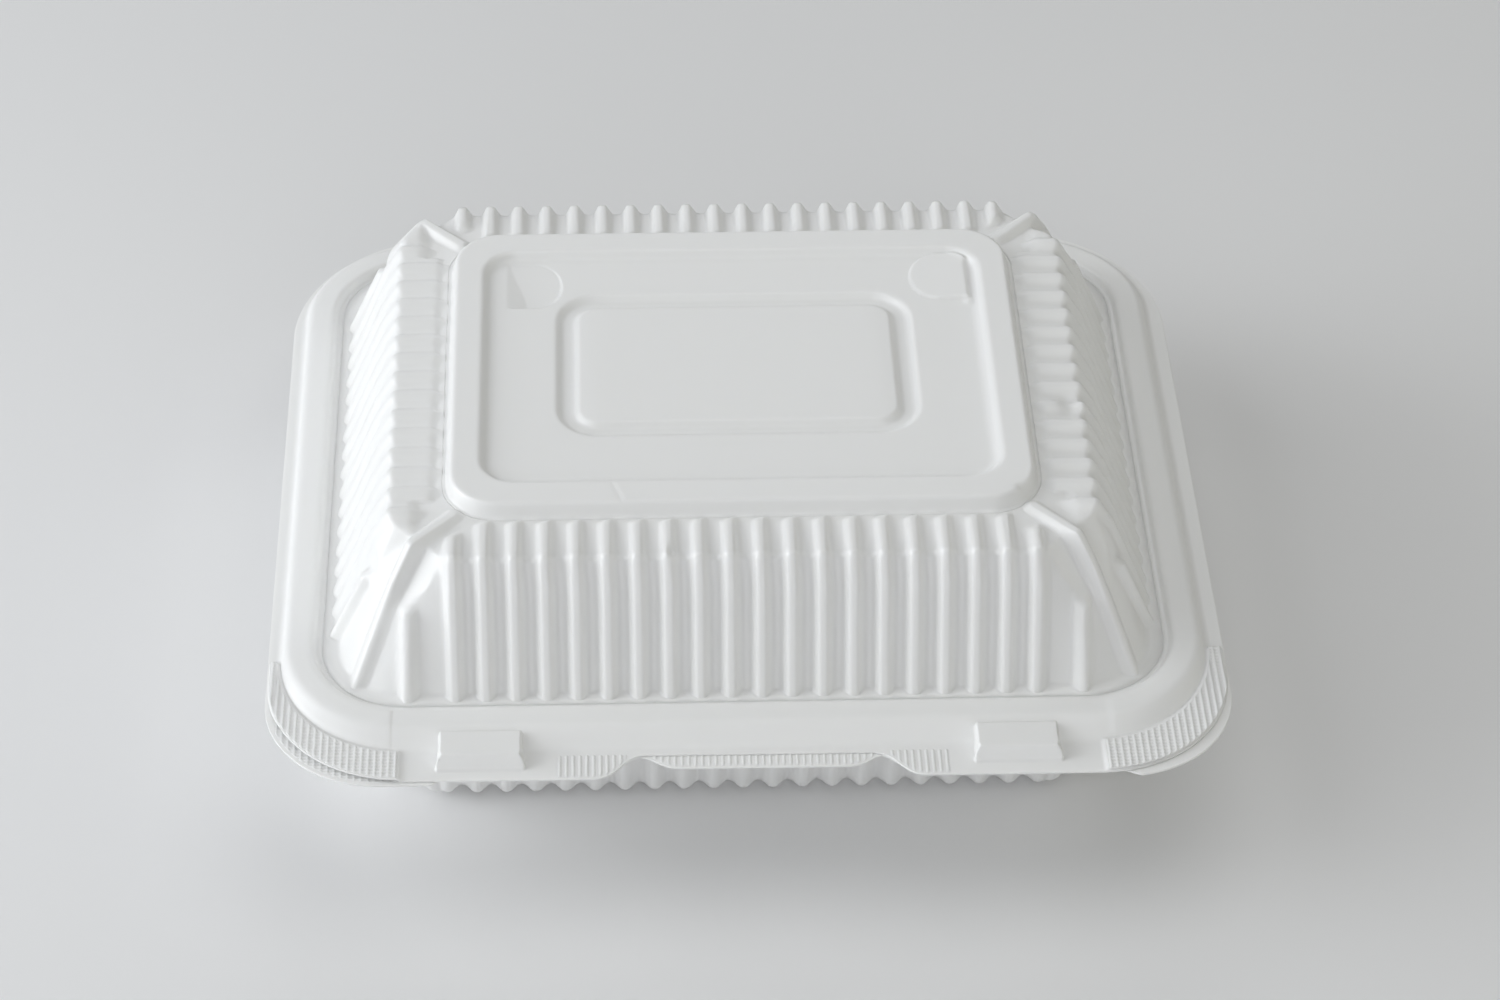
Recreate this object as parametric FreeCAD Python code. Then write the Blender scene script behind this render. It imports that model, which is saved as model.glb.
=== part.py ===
import FreeCAD, Part
import math
import os

# Closed clamshell food container, thermoformed from one thin plastic sheet.
# Millimetres. +Z up, +X to the right, the hinge at +Y and the latches at -Y.
# The origin is the centre of the flat foot, on the table.

# Sheet and fits
sheet = 0.6              # modelled wall of the formed sheet
nest_gap = 0.3           # play between the lid and the tray where they nest

# Rim levels
lid_flange_z = 43.0      # upper face of the lid's flange
bead_height = 3.0        # ridge that runs round the rim

# Mouth: the line where the walls meet the rim
mouth_x = 103.2          # half width
mouth_y = 86.1           # half depth
mouth_r = 20.0           # corner radius

# Lid wall, from the mouth up
kink_z = 70.0            # level where the wall turns in a little
kink_in = 11.1           # how far in from the mouth it is there
knee_z = 78.0            # crest level of the shoulder
knee_in = 15.6           # how far in from the mouth the shoulder starts

# Plateau and its sunken panel
plateau_x = 73.4         # half width at the plateau's foot
plateau_y = 55.3         # half depth at the plateau's foot
plateau_r = 13.0
plateau_z = 81.0         # top of the container
plateau_draft = 1.2
panel_x = 65.0           # half width of the sunken panel
panel_y = 46.3
panel_r = 9.0
panel_depth = 2.0
panel_draft = 1.4

# Groove ring in the sunken panel
ring_x = 43.1            # half width of the ring's centre line
ring_y = 25.6
ring_mid_y = 1.4         # the ring lies this far behind the middle
ring_width = 5.8
ring_floor = 2.6
ring_depth = 1.4
ring_r = 8.0

# Lid ribs
rib_pitch = 7.5
rib_depth = 2.2
rib_crest = 1.8
rib_flank = 1.9
rib_tip_gap = 1.4        # from a rib's tip to the plateau's wall
rib_tip_slope = 0.9
end_rib_short = 5.0      # the last rib before a corner stops this much sooner
lid_ribs_front = 20
lid_ribs_side = 15
short_rib_x = 82.6       # places of the short ribs beside each corner rib
short_rib_y = 60.6
short_rib_top_z = 64.0

# Tray wall and its ribs
tray_heel_z = 4.0        # level where the wall turns in to the foot
tray_heel_in = 9.2
foot_in = 12.7           # foot outline, in from the mouth
tray_rib_depth = 2.2
tray_rib_crest = 2.3
tray_rib_flank = 1.6
tray_rib_end_z = 0.8
tray_ribs_front = 21
tray_ribs_side = 17
tray_corner_turn = 12.0  # degrees from the wall's own direction

# Bead ring, half sizes at its top
bead_in_x = 107.0
bead_in_y = 89.0
bead_in_r = 23.8
bead_top_width = 6.4
bead_in_draft = 1.4
bead_side_slope = 1.8    # run of the outer slope at the sides and back
bead_front_slope = 6.2   # run of the outer slope at the front

# Flange outlines; the trimmed edge sits a little right of the formed shape
trim_shift = 0.8
flange_x = 118.4         # half width of the lid's flange
flange_front = 112.2     # front edge, in front of the origin
flange_back = 101.9      # back edge, behind the origin
flange_r = 42.0          # corner radius at the back
flange_front_r = 34.0    # and at the front, round the finger pads
tray_flange_out = 0.3    # the tray's edge stands out past the lid's
tray_corner_out = 0.8    # and a little more at the front corners
tray_front_r = 29.0      # which are squarer than the lid's
tray_front_in = 1.0      # but lies back between them
tray_front_half = 80.0   # half width of the stretch that lies back

# Opening notch in the lid's front edge, and the tray's tongue in it
notch_y = 104.4
notch_inner = 28.0
notch_outer = 44.0
tongue_y = 108.4
tongue_half = 24.5
tongue_foot = 30.5

# Latch boxes on the front flange
latch_mid = 64.8
latch_width = 22.0
latch_back = 95.5
latch_front = 108.4
latch_height = 3.4
latch_end_draft = 1.2
latch_front_draft = 2.1

# Finger pads at the front corners
pad_inner = 85.0
pad_back = 67.0
pad_height = 1.0
pad_margin = 1.3

# Hinge: the fold of the sheet behind the two flanges
hinge_r = 0.9
hinge_half = 70.0

tray_flange_z = lid_flange_z - sheet - nest_gap
lid_section = (rib_depth, rib_crest, rib_flank / rib_depth)
tray_section = (tray_rib_depth, tray_rib_crest, tray_rib_flank / tray_rib_depth)


def vec(x, y, z):
    return FreeCAD.Vector(x, y, z)


def corner_points(z, half_x, front, back, radius, front_radius, shift):
    """Ends and middles of a rounded rectangle's four sides and arcs."""
    left, right = shift - half_x, shift + half_x
    slant = radius * (1 - math.sqrt(0.5))
    front_slant = front_radius * (1 - math.sqrt(0.5))
    sides = [
        (vec(left + front_radius, -front, z), vec(right - front_radius, -front, z)),
        (vec(right, front_radius - front, z), vec(right, back - radius, z)),
        (vec(right - radius, back, z), vec(left + radius, back, z)),
        (vec(left, back - radius, z), vec(left, front_radius - front, z)),
    ]
    middles = [
        vec(right - front_slant, front_slant - front, z),
        vec(right - slant, back - slant, z),
        vec(left + slant, back - slant, z),
        vec(left + front_slant, front_slant - front, z),
    ]
    return sides, middles


def outline(z, half_x, front, back, radius, shift=0.0, front_radius=None):
    """Level of a stacked solid: its sides, its arcs and the closed wire."""
    front_radius = radius if front_radius is None else front_radius
    sides, middles = corner_points(z, half_x, front, back, radius, front_radius, shift)
    arcs = []
    for index, middle in enumerate(middles):
        after = sides[(index + 1) % 4]
        arcs.append(Part.Arc(sides[index][1], middle, after[0]).toShape())
    edges = []
    for side, arc in zip(sides, arcs):
        edges += [Part.makeLine(*side), arc]
    return {"sides": sides, "arcs": arcs, "wire": Part.Wire(edges)}


def polygon_face(points):
    return Part.Face(Part.makePolygon(list(points) + [points[0]]))


def closed_solid(faces):
    shell = Part.makeShell(faces)
    shell.sewShape()
    if shell.ShapeType != "Shell":
        shell = shell.Shells[0]
    solid = Part.Solid(shell)
    if solid.Volume < 0:
        solid.reverse()
    return solid


def stack(levels):
    """Solid with flat sides and ruled corners through a pile of outlines."""
    faces = [Part.Face(levels[0]["wire"]), Part.Face(levels[-1]["wire"])]
    for low, high in zip(levels, levels[1:]):
        for first, second in zip(low["sides"], high["sides"]):
            faces.append(polygon_face((first[0], first[1], second[1], second[0])))
        for first, second in zip(low["arcs"], high["arcs"]):
            faces.append(Part.makeRuledSurface(first, second))
    return closed_solid(faces)


def mouth_outline(z, inward, below):
    """Outline drawn in from the mouth line, below the crests by a depth."""
    return outline(z, mouth_x - inward, mouth_y - inward, mouth_y - inward, mouth_r - below)


def offset_line(points, distance):
    """Open line of (out, z) points moved inward and mitred at its corners."""
    moved = []
    count = len(points)
    for index in range(count):
        normals = []
        for start in (index - 1, index):
            if 0 <= start < count - 1:
                run = points[start + 1][0] - points[start][0]
                rise = points[start + 1][1] - points[start][1]
                length = math.hypot(run, rise)
                normals.append((-rise / length, run / length))
        mean_out = sum(normal[0] for normal in normals) / len(normals)
        mean_up = sum(normal[1] for normal in normals) / len(normals)
        square = mean_out ** 2 + mean_up ** 2
        scale = distance / square
        moved.append((points[index][0] + mean_out * scale, points[index][1] + mean_up * scale))
    return moved


def at_level(first, second, z):
    """Point of the line through two (out, z) points at a level."""
    share = (z - first[1]) / (second[1] - first[1])
    return (first[0] + share * (second[0] - first[0]), z)


def moved_along(first, second, distance):
    """Second (out, z) point pushed on along its line."""
    length = math.hypot(second[0] - first[0], second[1] - first[1])
    share = distance / length
    return (second[0] + share * (second[0] - first[0]), second[1] + share * (second[1] - first[1]))


def rib(line, section, inset, run, place, turn, foot_z, tip_spread=None):
    """Tapered rib that follows a line of (out, z) points up a wall.

    line is the crest from the foot to the tip and section its depth, crest width
    and flank spread. run stretches the inward part of the line at a corner, place
    is the foot's point on the mouth line and turn the way it faces. The tip slopes
    down by tip_spread, or is cut level where the line ends.
    """
    depth, crest, spread = section
    crest_line = [(out * run, z) for out, z in line]
    top = offset_line(crest_line, inset)
    deep = depth + inset + 2 * sheet
    low = offset_line(crest_line, deep)
    slant = math.hypot(1.0, spread)
    top_half = crest / 2 + inset * spread - inset * slant
    low_half = crest / 2 + deep * spread - inset * slant
    top[0] = at_level(top[0], top[1], foot_z)
    low[0] = at_level(low[0], low[1], foot_z)
    if tip_spread is None:
        top[-1] = at_level(top[-2], top[-1], crest_line[-1][1])
        low[-1] = at_level(low[-2], low[-1], crest_line[-1][1])
    else:
        back = inset * math.hypot(1.0, tip_spread)
        top[-1] = moved_along(top[-2], top[-1], inset * tip_spread - back)
        low[-1] = moved_along(low[-2], low[-1], deep * tip_spread - back)
    def ring(index):
        top_out, top_z = top[index]
        low_out, low_z = low[index]
        return (vec(top_out, -top_half, top_z), vec(top_out, top_half, top_z),
                vec(low_out, low_half, low_z), vec(low_out, -low_half, low_z))
    rings = [ring(index) for index in range(len(top))]
    faces = [polygon_face(rings[0]), polygon_face(rings[-1])]
    for first, second in zip(rings, rings[1:]):
        for index in range(4):
            after = (index + 1) % 4
            faces.append(polygon_face((first[index], first[after], second[after], second[index])))
    solid = closed_solid(faces)
    solid.rotate(vec(0, 0, 0), vec(0, 0, 1), turn)
    solid.translate(vec(place[0], place[1], 0))
    return solid


def spaced(count):
    return [(index - (count - 1) / 2) * rib_pitch for index in range(count)]


def wall_ribs(front_count, side_count, make):
    """Ribs along the four walls; make gets the foot's place, its facing and
    whether the rib is the last one before a corner."""
    ribs = []
    for number, along in enumerate(spaced(front_count)):
        last = number in (0, front_count - 1)
        ribs.append(make((along, -mouth_y), -90.0, last))
        ribs.append(make((along, mouth_y), 90.0, last))
    for number, along in enumerate(spaced(side_count)):
        last = number in (0, side_count - 1)
        ribs.append(make((mouth_x, along), 0.0, last))
        ribs.append(make((-mouth_x, along), 180.0, last))
    return ribs


def corner_place(side_x, side_y, slant):
    """Point on a mouth corner's arc, and the direction that it faces."""
    angle = math.radians(slant)
    out = (math.cos(angle) * mouth_r, math.sin(angle) * mouth_r)
    place = (side_x * (mouth_x - mouth_r + out[0]), side_y * (mouth_y - mouth_r + out[1]))
    turn = math.degrees(math.atan2(side_y * out[1], side_x * out[0]))
    return place, turn


def corner_run(slant):
    """How much further in the wall goes where it turns a corner."""
    return math.cos(math.radians(slant)) + math.sin(math.radians(slant))


corners = [(1, -1), (1, 1), (-1, 1), (-1, -1)]


def lid_crest(foot_z, tip_in):
    foot = at_level((0.0, lid_flange_z), (-kink_in, kink_z), foot_z)
    return [foot, (-kink_in, kink_z), (-knee_in, knee_z), (-tip_in, knee_z)]


def lid_rib(inset, place, turn, tip_in, run=1.0):
    foot_z = lid_flange_z - sheet / 2
    line = lid_crest(foot_z, tip_in)
    return rib(line, lid_section, inset, run, place, turn, foot_z - 2 * inset,
               tip_spread=rib_tip_slope / rib_depth)


def lid_wall_rib(inset, place, turn, last):
    tip_in = mouth_y - plateau_y if abs(turn) == 90 else mouth_x - plateau_x
    tip_in -= rib_tip_gap + rib_tip_slope
    if last:
        tip_in -= end_rib_short
    return lid_rib(inset, place, turn, tip_in)


def lid_corner_rib(inset, side_x, side_y):
    place, turn = corner_place(side_x, side_y, 45.0)
    run = corner_run(45.0)
    room = math.hypot(mouth_x - plateau_x, mouth_y - plateau_y)
    room -= (mouth_r - plateau_r) * (math.sqrt(2) - 1)
    return lid_rib(inset, place, turn, (room - rib_tip_gap - rib_tip_slope) / run, run)


def short_rib(inset, place, turn):
    foot_z = lid_flange_z - sheet / 2
    foot = at_level((0.0, lid_flange_z), (-kink_in, kink_z), foot_z)
    top = at_level((0.0, lid_flange_z), (-kink_in, kink_z), short_rib_top_z)
    return rib([foot, top], lid_section, inset, 1.0, place, turn, foot_z - 2 * inset,
               tip_spread=1.0)


def dome(inset):
    """Lid body at a depth below its outer skin."""
    foot_z = lid_flange_z - sheet / 2 - 2 * inset
    below = rib_depth + inset
    valley = offset_line(lid_crest(lid_flange_z, knee_in + 1), below)[:3]
    valley[0] = at_level(valley[0], valley[1], foot_z)
    body = stack([mouth_outline(z, -out, below) for out, z in valley])
    def plateau_level(z, draft):
        inward = draft + inset
        return outline(z, plateau_x - inward, plateau_y - inward, plateau_y - inward,
                       plateau_r - inward)
    shapes = [stack([plateau_level(knee_z - below - sheet, 0.0),
                     plateau_level(plateau_z - inset, plateau_draft)])]
    shapes += wall_ribs(lid_ribs_front, lid_ribs_side,
                        lambda place, turn, last: lid_wall_rib(inset, place, turn, last))
    for side_x, side_y in corners:
        shapes.append(lid_corner_rib(inset, side_x, side_y))
        shapes.append(short_rib(inset, (side_x * short_rib_x, side_y * mouth_y), side_y * 90.0))
        shapes.append(short_rib(inset, (side_x * mouth_x, side_y * short_rib_y),
                                90.0 - side_x * 90.0))
    body = body.fuse(shapes)
    floor_z = plateau_z - panel_depth - inset
    def panel_level(z, draft):
        inward = draft - inset
        return outline(z, panel_x - inward, panel_y - inward, panel_y - inward, panel_r - inward)
    panel = stack([panel_level(floor_z, panel_draft), panel_level(plateau_z, 0.0),
                   panel_level(plateau_z + 1, 0.0)])
    return body.cut([panel, groove(inset, floor_z)])


def groove(inset, floor_z):
    """Shallow ring pressed into the panel, wide at its top."""
    def level(z, width, side):
        half = side * (width / 2 + inset)
        return outline(z, ring_x + half, ring_y + half - ring_mid_y,
                       ring_y + half + ring_mid_y, ring_r + half)
    low_z = floor_z - ring_depth
    high_z = floor_z + ring_depth / 2
    outer = stack([level(low_z, ring_floor, 1), level(floor_z, ring_width, 1),
                   level(high_z, ring_width, 1)])
    inner = stack([level(low_z - 1, ring_floor, -1), level(low_z, ring_floor, -1),
                   level(floor_z, ring_width, -1), level(high_z + 1, ring_width, -1)])
    return outer.cut(inner)


def bead(flange_z, inset):
    """Ridge round the rim, at a depth below the lid's outer skin."""
    foot_z = flange_z - sheet / 2
    top_z = lid_flange_z + bead_height - inset
    drop = (top_z - foot_z) / bead_height
    def outer(z, side_run, front_run):
        half = bead_in_x + bead_top_width + side_run - inset
        back = bead_in_y + bead_top_width + side_run - inset
        front = bead_in_y + bead_top_width + front_run - inset
        return outline(z, half, front, back, bead_in_r + bead_top_width + side_run - inset)
    def inner(z, draft):
        grow = inset - draft
        return outline(z, bead_in_x + grow, bead_in_y + grow, bead_in_y + grow, bead_in_r + grow)
    ridge = stack([outer(foot_z, bead_side_slope * drop, bead_front_slope * drop),
                   outer(top_z, 0.0, 0.0)])
    hole = stack([inner(foot_z, bead_in_draft * drop), inner(top_z, 0.0)])
    return ridge.cut(hole)


def latch(flange_z, inset, side):
    """Latch box on the front flange, at a depth below the lid's outer skin."""
    foot_z = flange_z - sheet / 2
    top_z = lid_flange_z + latch_height - inset
    drop = (top_z - foot_z) / latch_height
    mid = trim_shift + side * latch_mid
    def ring(z, end_run, front_run):
        half = latch_width / 2 + end_run - inset
        back = -latch_back - inset
        front = -latch_front - front_run + inset
        return [vec(mid - half, front, z), vec(mid + half, front, z),
                vec(mid + half, back, z), vec(mid - half, back, z)]
    low = ring(foot_z, latch_end_draft * (drop - 1), latch_front_draft * (drop - 1))
    high = ring(top_z, -latch_end_draft, -latch_front_draft)
    faces = [polygon_face(low), polygon_face(high)]
    for index in range(4):
        after = (index + 1) % 4
        faces.append(polygon_face((low[index], low[after], high[after], high[index])))
    return closed_solid(faces)


def flange_plate(top_z, half_x, front, front_radius):
    face = Part.Face(outline(top_z - sheet, half_x, front, flange_back, flange_r, trim_shift,
                             front_radius)["wire"])
    return face.extrude(vec(0, 0, sheet))


def s_edge(start, end, z):
    """Smooth S between two points, level with X at both ends."""
    middle = (start[0] + end[0]) / 2
    curve = Part.BezierCurve()
    curve.setPoles([vec(start[0], start[1], z), vec(middle, start[1], z),
                    vec(middle, end[1], z), vec(end[0], end[1], z)])
    return curve.toShape()


def front_strip(z, inner, inner_y, outer, outer_y, far_y, thickness):
    """Strip along the front edge with an S at each end, closed at far_y."""
    left, right = trim_shift - outer, trim_shift + outer
    inner_left, inner_right = trim_shift - inner, trim_shift + inner
    edges = [
        s_edge((left, -outer_y), (inner_left, -inner_y), z),
        Part.makeLine(vec(inner_left, -inner_y, z), vec(inner_right, -inner_y, z)),
        s_edge((inner_right, -inner_y), (right, -outer_y), z),
        Part.makeLine(vec(right, -outer_y, z), vec(right, -far_y, z)),
        Part.makeLine(vec(right, -far_y, z), vec(left, -far_y, z)),
        Part.makeLine(vec(left, -far_y, z), vec(left, -outer_y, z)),
    ]
    return Part.Face(Part.Wire(edges)).extrude(vec(0, 0, thickness))


def notch(flange_z, edge_y):
    """Opening notch, cut through a flange out to past its edge."""
    return front_strip(flange_z - 2 * sheet, notch_inner, notch_y, notch_outer, edge_y,
                       edge_y + 2, 3 * sheet)


def pads(inset):
    """Raised finger pads at the two front corners of the lid's flange."""
    low_z = lid_flange_z - sheet / 2 - 2 * inset
    margin = pad_margin + inset
    plate = Part.Face(outline(low_z, flange_x - margin, flange_front - margin, flange_back - margin,
                              flange_r - margin, trim_shift, flange_front_r - margin)["wire"])
    plate = plate.extrude(vec(0, 0, lid_flange_z + pad_height - inset - low_z))
    keep = []
    for side in (-1, 1):
        inner = trim_shift + side * (pad_inner + inset)
        outer = trim_shift + side * (flange_x + 1)
        low_x, high_x = sorted((inner, outer))
        depth = flange_front - pad_back - inset + 1
        block = Part.makeBox(high_x - low_x, depth, 6 * sheet + pad_height)
        block.translate(vec(low_x, -flange_front - 1, low_z - sheet))
        keep.append(plate.common(block))
    inner_bead = bead_in_x + bead_top_width / 2
    inner_front = bead_in_y + bead_top_width / 2
    core = stack([outline(z, inner_bead, inner_front, inner_front, bead_in_r + bead_top_width / 2)
                  for z in (low_z - 2 * sheet, plateau_z)])
    return [pad.cut(core) for pad in keep]


def lid():
    skin = flange_plate(lid_flange_z, flange_x, flange_front, flange_front_r)
    skin = skin.cut(notch(lid_flange_z, flange_front))
    latches = [latch(lid_flange_z, 0.0, side) for side in (-1, 1)]
    skin = skin.fuse([dome(0.0), bead(lid_flange_z, 0.0)] + latches + pads(0.0))
    hollow_z = lid_flange_z - 2 * sheet
    hollows = [latch(hollow_z, sheet, side) for side in (-1, 1)]
    hollows += [dome(sheet), bead(hollow_z, sheet)] + pads(sheet)
    return skin.cut(hollows).removeSplitter()


def tray_line():
    """Crest of the tray's wall, from the foot up to the flange."""
    return [(-foot_in, 0.0), (-tray_heel_in, tray_heel_z), (0.0, tray_flange_z)]


def tray_rib(inset, place, turn, run=1.0):
    foot, heel, rim = tray_line()
    line = [at_level(foot, heel, tray_rib_end_z), heel,
            at_level(heel, rim, tray_flange_z - sheet / 2 + 3 * inset)]
    return rib(line, tray_section, inset, run, place, turn, tray_rib_end_z + inset)


def tray_body(inset):
    """Tray body at a depth inside its outer skin, open at the top."""
    below = tray_rib_depth + inset
    valley = offset_line(tray_line(), below)
    valley[0] = at_level(valley[0], valley[1], inset)
    valley[-1] = at_level(valley[1], valley[2], tray_flange_z - sheet / 2 + 3 * inset)
    body = stack([mouth_outline(z, -out, below) for out, z in valley])
    ribs = wall_ribs(tray_ribs_front, tray_ribs_side,
                     lambda place, turn, last: tray_rib(inset, place, turn))
    for side_x, side_y in corners:
        for slant in (tray_corner_turn, 45.0, 90.0 - tray_corner_turn):
            place, turn = corner_place(side_x, side_y, slant)
            ribs.append(tray_rib(inset, place, turn, corner_run(slant)))
    return body.fuse(ribs)


def base_tray():
    edge_y = flange_front + tray_corner_out
    skin = flange_plate(tray_flange_z, flange_x + tray_flange_out, edge_y, tray_front_r)
    low_z = tray_flange_z - sheet
    back_y = flange_front - tray_front_in
    skin = skin.cut([
        front_strip(low_z - sheet, tray_front_half - 4, back_y, tray_front_half, edge_y,
                    edge_y + 2, 3 * sheet),
        notch(tray_flange_z, back_y)])
    tongue = front_strip(low_z, tongue_half, tongue_y, tongue_foot, notch_y, notch_y - 2, sheet)
    nest = sheet + nest_gap
    latches = [latch(tray_flange_z, nest, side) for side in (-1, 1)]
    skin = skin.fuse([tongue, tray_body(0.0), bead(tray_flange_z, nest)] + latches)
    hollow_z = tray_flange_z - 2 * sheet
    hollows = [latch(hollow_z, nest + sheet, side) for side in (-1, 1)]
    hollows += [tray_body(sheet), bead(hollow_z, nest + sheet)]
    return skin.cut(hollows).removeSplitter()


def living_hinge():
    """Folded strip behind the flanges: a slim roll and the web that holds it."""
    pivot_y = flange_back + nest_gap + hinge_r
    pivot_z = tray_flange_z + nest_gap / 2
    roll = Part.makeCylinder(hinge_r, 2 * hinge_half, vec(-hinge_half, pivot_y, pivot_z), vec(1, 0, 0))
    web = Part.makeBox(2 * hinge_half, pivot_y - flange_back, sheet)
    web.translate(vec(-hinge_half, flange_back, tray_flange_z - sheet))
    return roll.fuse(web).removeSplitter()


os.makedirs("parts", exist_ok=True)
for name, shape in (("base_tray", base_tray()), ("lid", lid()), ("living_hinge", living_hinge())):
    box = shape.BoundBox
    print(name, "solids", len(shape.Solids), "faces", len(shape.Faces), "valid", shape.isValid(),
          "volume", round(shape.Volume, 1), "box", round(box.XMin, 2), round(box.XMax, 2),
          round(box.YMin, 2), round(box.YMax, 2), round(box.ZMin, 2), round(box.ZMax, 2))
    shape.exportStep("parts/" + name + ".step")
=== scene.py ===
import math

import bpy
import numpy as np
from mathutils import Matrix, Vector


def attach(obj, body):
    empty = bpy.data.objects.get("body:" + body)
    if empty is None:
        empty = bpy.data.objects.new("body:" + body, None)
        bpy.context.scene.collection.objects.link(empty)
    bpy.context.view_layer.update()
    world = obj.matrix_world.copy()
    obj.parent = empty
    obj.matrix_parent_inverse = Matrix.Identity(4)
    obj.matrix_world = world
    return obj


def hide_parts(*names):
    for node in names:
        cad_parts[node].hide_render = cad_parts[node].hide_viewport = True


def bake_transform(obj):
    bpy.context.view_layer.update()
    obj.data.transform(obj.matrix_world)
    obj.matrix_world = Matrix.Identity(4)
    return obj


# Closed clamshell container, thermoformed from one thin white sheet.
# Shapes are worked out in millimetres in the frame's axes: hinge at +Y, latches at -Y.

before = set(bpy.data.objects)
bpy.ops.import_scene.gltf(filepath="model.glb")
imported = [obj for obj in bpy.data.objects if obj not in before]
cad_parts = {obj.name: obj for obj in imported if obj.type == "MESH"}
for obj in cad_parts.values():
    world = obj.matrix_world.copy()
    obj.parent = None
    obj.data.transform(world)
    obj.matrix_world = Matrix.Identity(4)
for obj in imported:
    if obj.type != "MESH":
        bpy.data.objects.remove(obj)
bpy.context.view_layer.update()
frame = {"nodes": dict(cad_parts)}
millimetre = 0.001
diagonalShare = math.sqrt(0.5)  # sine and cosine of 45 degrees
print("frame loaded:", ", ".join(frame["nodes"]))

rim = {
    "flangeZ": 43.0,  # upper face of the lid's flange
    "nest": 0.6,  # the tray's skin lies this far under the lid's
    "thickness": 0.45,
    "beadTop": 46.0,
    "beadInner": (107.0, 89.0, 23.8),  # half width, half depth, corner radius
    "beadWidth": 6.4,
    "beadDraft": 1.4,
    "sideSlope": 1.5,
    "frontSlope": 6.2,
    "seam": (104.6, 86.9, 21.4),  # middle of the channel inside the bead
    "channelZ": 44.0,  # the lid's channel floor
    "flange": (118.4, 112.2, 101.9, 42.0, 34.0),  # half width, front, back, back and front radius
    "trayEdge": (118.7, 113.0, 101.9, 42.0, 29.0),
    "shift": 0.8,  # the trimmed edge sits a little to the right
    "cornerRise": 0.18,  # the bead stands higher round the two front corners
    "riseFrom": (87.2, 67.0),  # where that starts, across and to the front
    "riseOver": (0.6, 3.0),
    "lipHeight": 1.2,
    "lipWidth": 1.0,
    "lipOver": 0.8,
    "fillets": ((0, 0), (1.5, 4), (1.5, 4), (1.5, 4), (0.5, 1), (0, 0)),  # length and rows
}
mouth = (103.2, 86.1, 20.0)  # half width, half depth, corner radius of the opening
flankEase = 0.25  # how much a rib's flank is eased at its top and foot
spreadReach, spreadShare = 6.7, 0.4  # columns spread over at most this before a corner
filletShare = 0.45  # a fillet takes at most this share of a stretch


# Grids of points

# Eased share: level at 0 and at 1
def smooth(share):
    share = np.clip(share, 0.0, 1.0)
    return share * share * (3 - 2 * share)


# Distance of each column from the middle of one outline: unchanged up to where the straight
# columns end, then spread evenly out to the outline's 45 degree point
def placeAlong(values, corner, straight, limit):
    keep = min(straight, limit - min(spreadReach, spreadShare * limit))
    far = np.abs(values)
    return np.where(far <= keep, far, keep + (far - keep) * (limit - keep) / (corner - keep))


# One closed outline, anticlockwise from above: each side is a straight line that bends away
# as radius - sqrt(radius^2 - over^2) past the corner's centre
def loop(columns, half, front, back, radius, z, shift=0.0, frontRadius=None):
    frontRadius = radius if frontRadius is None else frontRadius
    slant = 1 - diagonalShare

    def place(values, which, low, high):
        corner, straight = columns["corner" + which], columns["straight" + which]
        return np.where(values < 0, -placeAlong(values, corner, straight, low),
                        placeAlong(values, corner, straight, high))

    def bend(distance, turn):
        over = np.clip(distance, 0.0, turn)
        return turn - np.sqrt(turn * turn - over * over)

    def across(values, turn):
        x = place(values, "X", half - shift - turn * slant, half + shift - turn * slant)
        return x, bend(np.abs(x - shift) - (half - turn), turn)

    frontX, frontDrop = across(columns["x"], frontRadius)
    backX, backDrop = across(columns["xBack"], radius)
    y = place(columns["y"], "Y", front - frontRadius * slant, back - radius * slant)
    drop = np.where(y < 0, bend(-y - (front - frontRadius), frontRadius),
                    bend(y - (back - radius), radius))
    return np.concatenate([
        np.stack([frontX, frontDrop - front, np.full_like(frontX, z)], 1),
        np.stack([shift + half - drop, y, np.full_like(y, z)], 1),
        np.stack([backX, back - backDrop, np.full_like(backX, z)], 1)[::-1],
        np.stack([shift - half + drop, y, np.full_like(y, z)], 1)[::-1],
    ])


# Places on the positive half, repeated on the negative half
def mirrored(values):
    values = np.array(sorted(values))
    return np.concatenate([-values[::-1], values[values > 1e-6]])


# Places spaced evenly over each stretch: from, to, step
def steps(*stretches):
    return [place for stretch in stretches for place in np.arange(*stretch)]


# Places of the columns on the four sides; the back may have its own
def loopColumns(x, y, cornerX, cornerY, straightX, straightY, xBack=None, yBack=None):
    front, side = mirrored(list(x) + [cornerX]), mirrored(y)
    back = front if xBack is None else mirrored(list(xBack) + [cornerX])
    if yBack is not None:
        side = np.concatenate([side[side < 0], mirrored(yBack)[len(yBack) - 1:]])
    return {"x": front, "xBack": back, "y": side, "cornerX": cornerX, "cornerY": cornerY,
            "straightX": straightX, "straightY": straightY}


# Rows through a pile of outlines: straight between them, and round each inner one a quadratic
# curve that starts and ends its fillet length away
def filletRows(curves, fillets, spans):
    rows = []
    for index in range(len(curves) - 1):
        start, end = curves[index], curves[index + 1]
        step = end - start
        length = np.linalg.norm(step, axis=1, keepdims=True)
        first = np.minimum(fillets[index][0], filletShare * length) / length
        last = 1 - np.minimum(fillets[index + 1][0], filletShare * length) / length
        segment = [start + step * (first + (last - first) * share)
                   for share in (0.0, *spans[index], 1.0)]
        if index:
            before, count = rows[-1], fillets[index][1]
            for t in np.linspace(0, 1, count + 2)[1:-1]:
                rows.append((1 - t) ** 2 * before + 2 * t * (1 - t) * start + t * t * segment[0])
        rows += segment
    return np.stack(rows)


# Shares of a stretch that cut it into count + 1 equal parts
def evenly(count):
    return tuple(np.linspace(0, 1, count + 2)[1:-1])


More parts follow.
